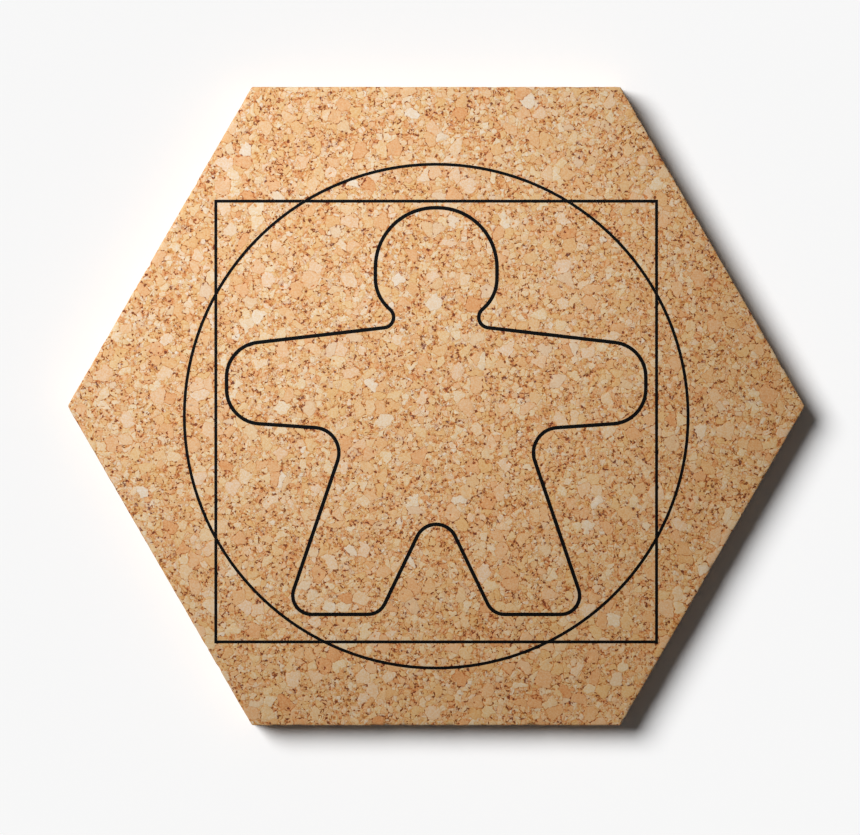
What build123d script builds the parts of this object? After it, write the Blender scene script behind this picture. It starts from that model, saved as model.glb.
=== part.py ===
"""Hexagonal cork coaster with a printed line drawing.

A flat tile of pressed cork granules carries three printed pieces of line work: a circle, a square and
the outline of a plain game figure that stands inside them. The ink soaks a little way into the cork and
ends flush with its top face, so each line is a thin band lying in a matching shallow recess.

Frame: the origin is the middle of the underside, +Z is up, two corners of the hexagon lie on the X axis,
and the figure's head points along +Y. All sizes are in millimetres.
"""

from build123d import *
from math import cos, radians, sqrt
import os

# Cork tile
tile_side = 55.0  # one side of the hexagon, which is also centre to corner
tile_thickness = 5.0
corner_radius = 0.4  # upright corners, as the cutting die leaves them
edge_ease = 0.25  # rounding of the top and bottom rims

# Ink
ink_depth = 0.12  # how far the ink soaks into the cork
border_line = 0.45  # width of the circle's and the square's line
figure_line = 0.55  # width of the figure's line

# Lay-out of the drawing, which sits a little below the tile's middle
square_drop = 2.3  # middle of the square below the middle of the tile
circle_drop = 1.5  # middle of the circle below the middle of the tile
square_margin = 1.3  # from the square's lower corners to the tile's slanting sides
circle_reach = 4.7  # how far the circle bulges past the square's sides
figure_gap = 1.1  # clear cork between the figure's hands and the square

# The figure's right half, from the top of the head to the crotch: x and y of each corner and the
# radius that rounds it, as shares of the figure's half width, measured from the square's middle.
figure_corners = [
    (0.29, 1.02, 0.285),  # crown of the head
    (0.29, 0.60, 0.19),  # cheek
    (0.14, 0.46, 0.05),  # neck
    (1.00, 0.36, 0.165),  # hand, upper corner
    (1.00, 0.00, 0.165),  # hand, lower corner
    (0.42, -0.04, 0.12),  # armpit
    (0.72, -0.92, 0.09),  # foot, outer corner
    (0.27, -0.92, 0.09),  # foot, inner corner
]
crotch = (0.0, -0.36, 0.10)

# Sizes that follow from those above
tile_apothem = tile_side * cos(radians(30))  # centre to the middle of a side
square_outer = (2 * (tile_apothem - square_margin) - square_drop) / (sqrt(3) + 1)
square_half = square_outer - border_line / 2
circle_radius = square_half + circle_reach
figure_half = square_half - border_line / 2 - figure_gap - figure_line / 2


def figure_path():
    """The figure's closed outline, along the middle of its line."""
    left_corners = [(-x, y, radius) for x, y, radius in reversed(figure_corners)]
    corners = figure_corners + [crotch] + left_corners
    points = [(x * figure_half, y * figure_half) for x, y, _ in corners]
    radii = [radius * figure_half for _, _, radius in corners]
    return FilletPolyline(*points, radius=radii, close=True)


def line_along(shape, width):
    """A flat line of the given width whose middle runs along the edge of a shape."""
    return offset(shape, width / 2) - offset(shape, -width / 2)


def square_frame(side, width):
    """A flat line of the given width round a square, with sharp corners."""
    return Rectangle(side + width, side + width) - Rectangle(side - width, side - width)


def soak_in(flat_line, drop):
    """The ink under a flat line: from the tile's top face down by the ink's depth."""
    placed = Location((0, -drop, tile_thickness)) * flat_line
    return extrude(placed, amount=ink_depth, dir=(0, 0, -1))


def make_lines():
    """The three pieces of line work. Where two lines cross, the one printed first keeps its ink."""
    circle = soak_in(line_along(Circle(circle_radius), border_line), circle_drop)
    square = soak_in(square_frame(2 * square_half, border_line), square_drop)
    figure = soak_in(line_along(make_face(figure_path()), figure_line), square_drop)
    return {
        "circle_line": circle,
        "square_line": square - circle,
        "figure_line": figure - circle - square,
    }


def make_tile(lines):
    """The cork: a hexagonal slab with eased rims and a recess for each line."""
    slab = extrude(RegularPolygon(radius=tile_side, side_count=6), amount=tile_thickness)
    slab = fillet(slab.edges().filter_by(Axis.Z), corner_radius)
    by_height = slab.faces().sort_by(Axis.Z)
    slab = fillet(by_height[0].edges() + by_height[-1].edges(), edge_ease)
    for line in lines.values():
        slab = slab - line
    return slab


def write_parts():
    """One file for each piece."""
    os.makedirs("parts", exist_ok=True)
    lines = make_lines()
    export_step(make_tile(lines), "parts/cork_tile.step")
    for name, line in lines.items():
        export_step(line, f"parts/{name}.step")


write_parts()
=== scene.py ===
"""A hexagonal cork coaster, printed with a circle, a square and a plain figure in thin black ink."""

import bpy
import numpy as np
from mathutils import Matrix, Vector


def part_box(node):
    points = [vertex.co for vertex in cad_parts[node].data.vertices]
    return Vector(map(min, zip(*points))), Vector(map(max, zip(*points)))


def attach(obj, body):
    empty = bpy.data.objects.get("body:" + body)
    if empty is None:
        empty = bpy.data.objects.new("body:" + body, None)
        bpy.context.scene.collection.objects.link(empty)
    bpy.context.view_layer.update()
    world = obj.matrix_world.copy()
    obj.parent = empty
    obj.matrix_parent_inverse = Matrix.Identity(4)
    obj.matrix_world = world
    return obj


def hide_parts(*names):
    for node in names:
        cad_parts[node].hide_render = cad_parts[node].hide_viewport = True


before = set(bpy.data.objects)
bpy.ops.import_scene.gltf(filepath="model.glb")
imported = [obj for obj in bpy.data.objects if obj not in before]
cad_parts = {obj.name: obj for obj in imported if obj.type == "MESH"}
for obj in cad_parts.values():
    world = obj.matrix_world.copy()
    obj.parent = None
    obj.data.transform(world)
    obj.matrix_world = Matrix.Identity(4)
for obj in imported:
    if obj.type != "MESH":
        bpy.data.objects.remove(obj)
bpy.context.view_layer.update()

# ---------------------------------------------------------------------------------------------
# Camera. It looks straight down on the printed face through a long lens, so that the tile keeps
# its true outline, with the figure's head towards the top.
# ---------------------------------------------------------------------------------------------
mm = 0.001
lens = 300.0
sensor_width = 36.0
view_width = 128.2 * mm  # what the camera takes in at the height of the printed face
view_centre = (-0.92 * mm, -1.7 * mm)
tile_low, tile_high = (np.array(corner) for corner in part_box("cork_tile"))

camera_data = bpy.data.cameras.new("overhead")
camera_data.lens = lens
camera_data.sensor_width = sensor_width
camera = bpy.data.objects.new("overhead", camera_data)
camera.location = (*view_centre, tile_high[2] + view_width * lens / sensor_width)
bpy.context.scene.collection.objects.link(camera)
bpy.context.scene.camera = camera

# ---------------------------------------------------------------------------------------------
# Cork tile. One sheet of cork granules, glued with a little resin, pressed, sanded flat and cut
# out with a steel die, which leaves the rims slightly eased and a few crumbs torn out.
# ---------------------------------------------------------------------------------------------
rings = 120  # rings of triangles from the middle of a face to its rim
corner_radius = 0.4 * mm
corner_share = 0.03  # share of each sixth of the outline that goes round its corner
edge_ease = 0.25 * mm
ease_steps = 3
wall_steps = 8
sanding_relief = 0.03 * mm  # granules stand this much higher or lower than each other
wall_relief = 0.07 * mm  # and this much on the wall, which is cut but not sanded
broad_pitch = 1.3 * mm  # the relief is a mix of broad lumps and fine ones
broad_share = 0.6
fine_pitch = 0.6 * mm
chip_band = 0.5 * mm  # the rims are chipped within this distance of the wall
chip_depth = 0.17 * mm
chip_pitch = 1.0 * mm
chip_start = 0.64  # a chip begins where its lumps pass this value
chip_rise = 0.2  # and is at its deepest this much above it
torn_share = 0.02  # share of the surface points where a crumb is missing
torn_depth = 0.22 * mm
torn_least = 0.3  # the shallowest torn point, as a share of that depth
half_height = (tile_high[1] - tile_low[1]) / 2
thickness = tile_high[2] - tile_low[2]


def hexagon_outline(turn, inset):
    """Points and outward directions of a hexagon with rounded corners, moved in by the inset. Each
    sixth of a turn starts in the middle of a corner: the first and last share of it swing the
    outward direction by 30 degrees, and the rest runs straight along the side."""
    sixth = np.floor(turn)
    share = turn - sixth
    half_corner = corner_share / 2
    swing = np.clip(share / half_corner, 0, 1) + np.clip((share - 1) / half_corner + 1, 0, 1)
    outward_angle = np.radians(60 * sixth + 30 * swing)
    outward = np.stack([np.cos(outward_angle), np.sin(outward_angle)], axis=-1)
    core_radius = (half_height - corner_radius) / np.cos(np.radians(30))
    corner_angle = np.radians(60 * np.stack([sixth, sixth + 1]))
    corners = core_radius * np.stack([np.cos(corner_angle), np.sin(corner_angle)], axis=-1)
    along = np.clip((share - half_corner) / (1 - corner_share), 0, 1)[..., None]
    core = corners[0] * (1 - along) + corners[1] * along
    return core + (corner_radius - inset) * outward, outward


def face_sheet():
    """A flat hexagon of rings of triangles: ring k has 6k points, at k / rings of the way from the
    middle to the outline. Returns the points and the triangles, which face up."""
    sizes = 6 * np.arange(1, rings + 1)
    ring = np.repeat(np.arange(1, rings + 1), sizes)
    place = np.arange(ring.size) - np.repeat(np.cumsum(sizes) - sizes, sizes)
    outline, _ = hexagon_outline(place / ring, edge_ease)
    points = np.vstack([[0.0, 0.0], outline * (ring / rings)[:, None]])

    def index(ring, place):
        first = np.where(ring > 0, 1 + 3 * ring * (ring - 1), 0)
        return first + place % np.maximum(6 * ring, 1)

    inner_place = place - place // ring
    outer_pair = np.stack([index(ring, place), index(ring, place + 1)], axis=-1)
    pointing_in = np.column_stack([outer_pair, index(ring - 1, inner_place)])
    inside = place % ring < ring - 1
    inner_pair = np.stack([index(ring - 1, inner_place + 1), index(ring - 1, inner_place)], axis=-1)
    pointing_out = np.column_stack([inner_pair, outer_pair[:, 1]])[inside]
    return points, np.vstack([pointing_in, pointing_out])


def lumps(points, pitch, seed):
    """Smooth random values from 0 to 1: a seeded value at each corner of a cubic lattice of the given
    pitch, blended between the eight corners round a point by the smooth-step s x s x (3 - 2s)."""
    place = points / pitch
    corner = np.floor(place).astype(int)
    share = place - corner
    share = share * share * (3 - 2 * share)
    corner -= corner.min(axis=0)
    values = np.random.default_rng(seed).random(corner.max(axis=0) + 2)
    total = np.zeros(len(points))
    for step in np.ndindex(2, 2, 2):
        weight = np.prod(np.where(np.array(step) == 1, share, 1 - share), axis=1)
        total += weight * values[tuple((corner + step).T)]
    return total


def cork_body():
    """Top sheet, underside sheet and the wall between them. The wall carries a profile round the
    outline: a quarter round, a straight drop and a quarter round. The lean of the profile is the
    angle of its outward direction from upright, and the inset is the ease x (1 - sine of the lean).
    Returns the points, their outward directions, and the faces of the three parts."""
    sheet, triangles = face_sheet()
    rim = np.arange(len(sheet) - 6 * rings, len(sheet))
    quarter = np.linspace(0, 90, ease_steps + 1)
    drop = np.linspace(0, 1, wall_steps + 1)[1:-1]
    straight = thickness - 2 * edge_ease
    lean = np.radians(np.concatenate([quarter[1:], np.full(drop.size, 90), 90 + quarter[:-1]]))
    upper = edge_ease * np.cos(lean[:ease_steps])
    heights = np.concatenate([
        thickness - edge_ease + upper,
        thickness - edge_ease - straight * drop,
        edge_ease - upper[::-1],
    ])
    insets = edge_ease * (1 - np.sin(lean))
    turn = np.arange(6 * rings) / rings
    outline, sideways = hexagon_outline(turn, insets[:, None, None])
    per_row = np.ones((lean.size, turn.size))
    wall = np.dstack([outline, heights[:, None] * per_row]).reshape(-1, 3)
    wall_out = np.dstack([
        sideways * np.sin(lean)[:, None, None],
        np.cos(lean)[:, None] * per_row,
    ]).reshape(-1, 3)
    flat = np.ones(len(sheet))
    points = np.vstack([
        np.column_stack([sheet, flat * thickness]),
        np.column_stack([sheet, flat * 0]),
        wall,
    ])
    outward = np.vstack([
        np.column_stack([flat * 0, flat * 0, flat]),
        np.column_stack([flat * 0, flat * 0, -flat]),
        wall_out,
    ])
    wall_rows = 2 * len(sheet) + np.arange(lean.size * turn.size).reshape(lean.size, turn.size)
    rows = np.vstack([rim, wall_rows, len(sheet) + rim])
    after = np.roll(rows, -1, axis=1)
    quads = np.stack([rows[:-1], rows[1:], after[1:], after[:-1]], axis=-1).reshape(-1, 4)
    return points, outward, triangles, len(sheet) + triangles[:, ::-1], quads


def new_mesh(name, points, *face_groups):
    """A mesh from an array of points and arrays of faces, shaded smooth."""
    mesh = bpy.data.meshes.new(name)
    faces = [face for group in face_groups for face in group.tolist()]
    mesh.from_pydata(points.tolist(), [], faces)
    mesh.polygons.foreach_set("use_smooth", np.ones(len(faces), bool))
    mesh.update()
    return mesh


def distance_to_wall(points):
    """Distance of each point from the nearest of the six flat sides: the half height less the
    point's largest reach along the sides' outward directions."""
    side_angle = np.radians(30 + 60 * np.arange(6))
    sides = np.stack([np.cos(side_angle), np.sin(side_angle)])
    return half_height - (points[:, :2] @ sides).max(axis=1)


# Every point moves inwards: by the relief, by a chip near a rim, and where a crumb is torn out
points, outward, top_faces, base_faces, wall_faces = cork_body()
at_rim = np.clip(1 - distance_to_wall(points) / chip_band, 0, 1)
relief_height = sanding_relief + (wall_relief - sanding_relief) * at_rim
broad_lumps = lumps(points, broad_pitch, seed=1)
fine_lumps = lumps(points, fine_pitch, seed=2)
relief = relief_height * (broad_share * broad_lumps + (1 - broad_share) * fine_lumps)
chip_lumps = lumps(points, chip_pitch, seed=4)
chips = chip_depth * at_rim * np.clip((chip_lumps - chip_start) / chip_rise, 0, 1)
random = np.random.default_rng(3)
torn = (random.random(len(points)) < torn_share) * random.uniform(torn_least, 1.0, len(points))
points = points - outward * (relief + chips + torn * torn_depth)[:, None]
cork_mesh = new_mesh("cork_tile", points, top_faces, base_faces, wall_faces)
# the torn attribute sets the pit depths above and places the painted shade in the pits in the cork
# material
cork_mesh.attributes.new("torn", "FLOAT", "POINT").data.foreach_set("value", torn)
cork = bpy.data.objects.new("pressed_cork", cork_mesh)
bpy.context.scene.collection.objects.link(cork)


def node(tree, kind, inputs, **settings):
    """Adds a node to a material, sets its options, and fills each named or numbered input with a
    value or joins it to another node's output."""
    new = tree.nodes.new(kind)
    for name, value in settings.items():
        setattr(new, name, value)
    for name, value in inputs.items():
        if isinstance(value, bpy.types.NodeSocket):
            tree.links.new(value, new.inputs[name])
        else:
            new.inputs[name].default_value = value
    return new


def calculate(tree, operation, *values):
    """One step of arithmetic."""
    return node(tree, "ShaderNodeMath", dict(enumerate(values)), operation=operation).outputs[0]


def remap(tree, value, low, high, to_low, to_high):
    """A smooth change from to_low to to_high as the value goes from low to high."""
    inputs = {"Value": value, "From Min": low, "From Max": high, "To Min": to_low, "To Max": to_high}
    new = node(tree, "ShaderNodeMapRange", inputs, interpolation_type="SMOOTHSTEP")
    return new.outputs["Result"]


def blend(tree, share, first, second):
    """The first value where the share is 0 and the second where it is 1."""
    return node(tree, "ShaderNodeMix", {0: share, 2: first, 3: second}).outputs[0]


def grit(tree, place, per_mm, detail=1.0):
    """Soft random values from 0 to 1, with about that many swings in a millimetre."""
    inputs = {"Vector": place, "Scale": per_mm, "Detail": detail}
    return node(tree, "ShaderNodeTexNoise", inputs).outputs["Fac"]


def granules(tree, place, size):
    """Cells of about that size in millimetres: three random values of each cell, and the distance in
    millimetres from a point to the nearest edge of its cell."""
    inputs = {"Vector": place, "Scale": 1 / size}
    cell = node(tree, "ShaderNodeTexVoronoi", inputs).outputs["Color"]
    values = node(tree, "ShaderNodeSeparateColor", {0: cell}).outputs
    edge = node(tree, "ShaderNodeTexVoronoi", inputs, feature="DISTANCE_TO_EDGE").outputs[0]
    return *values, calculate(tree, "MULTIPLY", edge, size)


def empty_material(name):
    """A material without nodes, and its tree."""
    material = bpy.data.materials.new(name)
    material.use_nodes = True
    material.node_tree.nodes.clear()
    return material, material.node_tree


def object_millimetres(tree):
    """The place of each point on the object, in millimetres."""
    place = node(tree, "ShaderNodeTexCoord", {}).outputs["Object"]
    return node(tree, "ShaderNodeMapping", {0: place, 3: (1 / mm, 1 / mm, 1 / mm)}).outputs[0]


def surface(tree, colour, height, roughness, specular, strength, distance):
    """The shader of a material, with the height as a bump of that strength and distance."""
    inputs = {"Strength": strength, "Distance": distance, "Height": height}
    bump = node(tree, "ShaderNodeBump", inputs)
    shader = node(tree, "ShaderNodeBsdfPrincipled", {
        "Base Color": colour,
        "Roughness": roughness,
        "Specular IOR Level": specular,
        "Normal": bump.outputs["Normal"],
    })
    node(tree, "ShaderNodeOutputMaterial", {"Surface": shader.outputs["BSDF"]})


# The pattern counts in millimetres, and every tone runs from 0, bark, to 1, the palest cork
large_granule = 1.75
small_granule = 0.9
crumb = 0.42
large_share = 0.28  # share of the large cells that hold a granule
small_share = 0.55  # and of the small cells, which fill the gaps, with crumbs in the rest
crumb_seam = 1.5  # seams round a crumb are this much thinner
sway_per_mm = 1.2  # the cells are pulled out of shape by a swaying noise
sway_reach = 0.85
seam_widths = (0.05, 0.16)
seam_depths = (0.08, 0.5)
speck_start = (0.58, 0.70)  # specks gather where their noise passes from one to the other
speck_depth = 0.75
speck_fade = (0.03, 0.13)  # and they fade out over these distances from a seam
painted_pit_shade_start = (0.15, 0.35)  # painted shade in the torn pits fades in over these values of the torn attribute
# how dark the painted shade in the torn pits is
painted_pit_shade_depth = 0.5
granule_tones = (0.56, 0.82)
odd_tints = (0.88, 0.95)  # from these tints on, a granule is a darker piece near the bark
odd_depth = 0.12
grain_depth = 0.12
granule_hues = (0.503, 0.492)  # slightly yellower to slightly redder, where 0.5 is no change
grey_saturation = 0.8  # the greyest granules, which are those of the lowest tints
cork_colours = [
    (0.00, (0.112, 0.026, 0.004)),
    (0.12, (0.238, 0.070, 0.012)),
    (0.26, (0.353, 0.132, 0.028)),
    (0.42, (0.410, 0.199, 0.061)),
    (0.60, (0.439, 0.254, 0.103)),
    (0.76, (0.455, 0.306, 0.159)),
    (0.88, (0.464, 0.348, 0.222)),
    (1.00, (0.474, 0.393, 0.296)),
]


def cork_material():
    """Pressed cork: large granules, small granules and crumbs fill the gaps that the larger ones
    leave. Each has its own tone, resin and bark show as thin brown seams, specks are darkest, and
    painted shade darkens the pits where crumbs are torn out."""
    material, tree = empty_material("pressed_cork")
    in_mm = object_millimetres(tree)
    sway_inputs = {"Vector": in_mm, "Scale": sway_per_mm, "Detail": 3.0}
    sway = node(tree, "ShaderNodeTexNoise", sway_inputs).outputs[1]
    sway = node(tree, "ShaderNodeVectorMath", {0: sway, 1: (0.5, 0.5, 0.5)}, operation="SUBTRACT")
    sway = node(tree, "ShaderNodeVectorMath", {0: sway.outputs[0], 3: sway_reach}, operation="SCALE")
    swayed = node(tree, "ShaderNodeVectorMath", {0: in_mm, 1: sway.outputs[0]}, operation="ADD")
    place = swayed.outputs[0]

    # Granules: which of the three sizes is seen, its tone and tint, and how near its edge is
    large_tone, large_pick, large_tint, large_edge = granules(tree, place, large_granule)
    small_tone, small_pick, small_tint, small_edge = granules(tree, place, small_granule)
    crumb_tone, _, crumb_tint, crumb_edge = granules(tree, place, crumb)
    crumb_edge = calculate(tree, "MULTIPLY", crumb_edge, crumb_seam)
    is_large = calculate(tree, "GREATER_THAN", large_pick, 1 - large_share)
    is_small = calculate(tree, "GREATER_THAN", small_pick, 1 - small_share)
    tone = blend(tree, is_small, crumb_tone, small_tone)
    tone = blend(tree, is_large, tone, large_tone)
    tint = blend(tree, is_large, blend(tree, is_small, crumb_tint, small_tint), large_tint)
    edge = blend(tree, is_small, calculate(tree, "MINIMUM", crumb_edge, small_edge), small_edge)
    edge = blend(tree, is_large, calculate(tree, "MINIMUM", edge, large_edge), large_edge)

    # Seams of resin and bark, whose width and depth wander, and specks beside the seams
    seam_width = remap(tree, grit(tree, in_mm, per_mm=0.9), 0.35, 0.65, *seam_widths)
    seam = remap(tree, edge, 0.0, seam_width, 1.0, 0.0)
    seam_depth = remap(tree, grit(tree, in_mm, per_mm=1.7), 0.35, 0.7, *seam_depths)
    specks_and_painted_pit_shade = remap(tree, grit(tree, in_mm, per_mm=2.3), *speck_start, 0.0, speck_depth)
    specks_and_painted_pit_shade = calculate(tree, "MULTIPLY", specks_and_painted_pit_shade, remap(tree, edge, *speck_fade, 1.0, 0.0))

    # Painted shade darkens the pits where crumbs are torn out, with a ragged outline
    torn_value = node(tree, "ShaderNodeAttribute", {}, attribute_name="torn").outputs["Fac"]
    ragged = remap(tree, grit(tree, in_mm, per_mm=3.2), 0.3, 0.7, 0.0, 0.5)
    torn_value = calculate(tree, "SUBTRACT", torn_value, ragged)
    painted_pit_shade = remap(tree, torn_value, *painted_pit_shade_start, 0.0, painted_pit_shade_depth)
    specks_and_painted_pit_shade = calculate(tree, "MAXIMUM", specks_and_painted_pit_shade, painted_pit_shade)

    # The tone of the granule, less the odd tints, seams, specks and the painted shade in torn pits,
    # plus a fine grain
    tone = remap(tree, tone, 0.0, 1.0, *granule_tones)
    tone = calculate(tree, "SUBTRACT", tone, remap(tree, tint, *odd_tints, 0.0, odd_depth))
    fine_grit = grit(tree, in_mm, per_mm=4.5, detail=2.0)
    grain = remap(tree, fine_grit, 0.25, 0.75, -grain_depth, grain_depth)
    tone = calculate(tree, "ADD", tone, grain)
    tone = calculate(tree, "SUBTRACT", tone, calculate(tree, "MULTIPLY", seam, seam_depth))
    tone = calculate(tree, "SUBTRACT", tone, specks_and_painted_pit_shade)
    ramp = node(tree, "ShaderNodeValToRGB", {0: tone})
    elements = ramp.color_ramp.elements
    while len(elements) < len(cork_colours):
        elements.new(1.0)
    for element, (position, colour) in zip(elements, cork_colours):
        element.position = position
        element.color = (*colour, 1.0)
    colour = node(tree, "ShaderNodeHueSaturation", {
        "Hue": remap(tree, tint, 0.2, 0.95, *granule_hues),
        "Saturation": remap(tree, tint, 0.0, 0.2, grey_saturation, 1.0),
        "Color": ramp.outputs[0],
    }).outputs["Color"]
    height = calculate(tree, "SUBTRACT", calculate(tree, "MULTIPLY", tone, 0.3), seam)
    bump = {"strength": 0.6, "distance": 0.04 * mm}
    surface(tree, colour, height, roughness=0.85, specular=0.25, **bump)
    return material


cork_mesh.materials.append(cork_material())
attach(cork, "root")
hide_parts("cork_tile")

# ---------------------------------------------------------------------------------------------
# Printed lines. Black screen ink, printed on the finished tile in three closed outlines. It
# soaks a little way into the cork and dries matte, slightly greyer on the high spots.
# ---------------------------------------------------------------------------------------------
ink_colour = (0.0015, 0.0014, 0.0012, 1)
dry_ink_colour = (0.004, 0.0035, 0.003, 1)
printed_lines = [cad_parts[name] for name in ("circle_line", "square_line", "figure_line")]


def ink_material():
    """Matte black ink that dries a little greyer on the high spots of a fine grain."""
    material, tree = empty_material("screen_ink")
    fine_grit = grit(tree, object_millimetres(tree), per_mm=4.0, detail=2.0)
    dry = remap(tree, fine_grit, 0.35, 0.7, 0.0, 1.0)
    colour = node(tree, "ShaderNodeValToRGB", {0: dry})
    colour.color_ramp.elements[0].color = ink_colour
    colour.color_ramp.elements[1].color = dry_ink_colour
    bump = {"strength": 0.4, "distance": 0.02 * mm}
    surface(tree, colour.outputs["Color"], dry, roughness=0.75, specular=0.04, **bump)
    return material


ink = ink_material()
for line in printed_lines:
    for slot in line.material_slots:
        slot.material = ink

# ---------------------------------------------------------------------------------------------
# Studio. A white table, a wide softbox at the upper left that throws a soft shadow to the lower
# right, a spot whose pool of light brightens the upper left half, and a faint light all round.
# ---------------------------------------------------------------------------------------------
floor_size = 60.0
table_white = (0.96, 0.96, 0.96, 1)
all_round_light = 0.05
backdrop_white = 0.93  # how bright the backdrop looks, which lights nothing
floor_corners = np.array([(-1, -1, 0), (1, -1, 0), (1, 1, 0), (-1, 1, 0)]) * floor_size / 2
floor_mesh = new_mesh("table", floor_corners, np.array([[0, 1, 2, 3]]))
floor_material = bpy.data.materials.new("white_table")
floor_material.use_nodes = True
floor_shader = floor_material.node_tree.nodes["Principled BSDF"]
floor_shader.inputs["Base Color"].default_value = table_white
floor_shader.inputs["Roughness"].default_value = 0.9
floor_shader.inputs["Specular IOR Level"].default_value = 0.0
floor_mesh.materials.append(floor_material)
floor = bpy.data.objects.new("table", floor_mesh)
bpy.context.scene.collection.objects.link(floor)


def aim(light, name, target, turn, height_angle, distance):
    """Puts a light at that turn and height angle, in degrees, and that distance from its target."""
    turn, height_angle = np.radians([turn, height_angle])
    level = distance * np.cos(height_angle)
    reach = np.array([level * np.cos(turn), level * np.sin(turn), distance * np.sin(height_angle)])
    lit = bpy.data.objects.new(name, light)
    lit.location = np.array(target) + reach
    lit.rotation_euler = (0, np.pi / 2 - height_angle, turn)
    bpy.context.scene.collection.objects.link(lit)
    return lit


softbox = bpy.data.lights.new("softbox", "SUN")
softbox.energy = 3.96
softbox.angle = np.radians(33)
aim(softbox, "softbox", target=(0, 0, 0), turn=148, height_angle=47, distance=1.0)

spot = bpy.data.lights.new("spot", "SPOT")
spot.energy = 12.1
spot.color = (0.91, 1.03, 1.3)
spot.spot_size = np.radians(20.8)
spot.spot_blend = 1.0
spot.shadow_soft_size = 0.03
spot_centre = (-38 * mm, 41 * mm, tile_high[2])
spot_object = aim(spot, "spot", target=spot_centre, turn=135, height_angle=78, distance=0.5)
spot_object.visible_camera = False
printed_tile = bpy.data.collections.new("printed_tile")  # the spot lights this, not the table
for piece in (cork, *printed_lines):
    printed_tile.objects.link(piece)
spot_object.light_linking.receiver_collection = printed_tile

world = bpy.data.worlds.new("studio")
world.use_nodes = True
bpy.context.scene.world = world
world_tree = world.node_tree
world_tree.nodes.clear()
seen = node(world_tree, "ShaderNodeLightPath", {}).outputs["Is Camera Ray"]
strength = remap(world_tree, seen, 0.0, 1.0, all_round_light, backdrop_white)
background = node(world_tree, "ShaderNodeBackground", {"Color": (1, 1, 1, 1), "Strength": strength})
node(world_tree, "ShaderNodeOutputWorld", {"Surface": background.outputs[0]})
bpy.context.scene.view_settings.view_transform = "Standard"
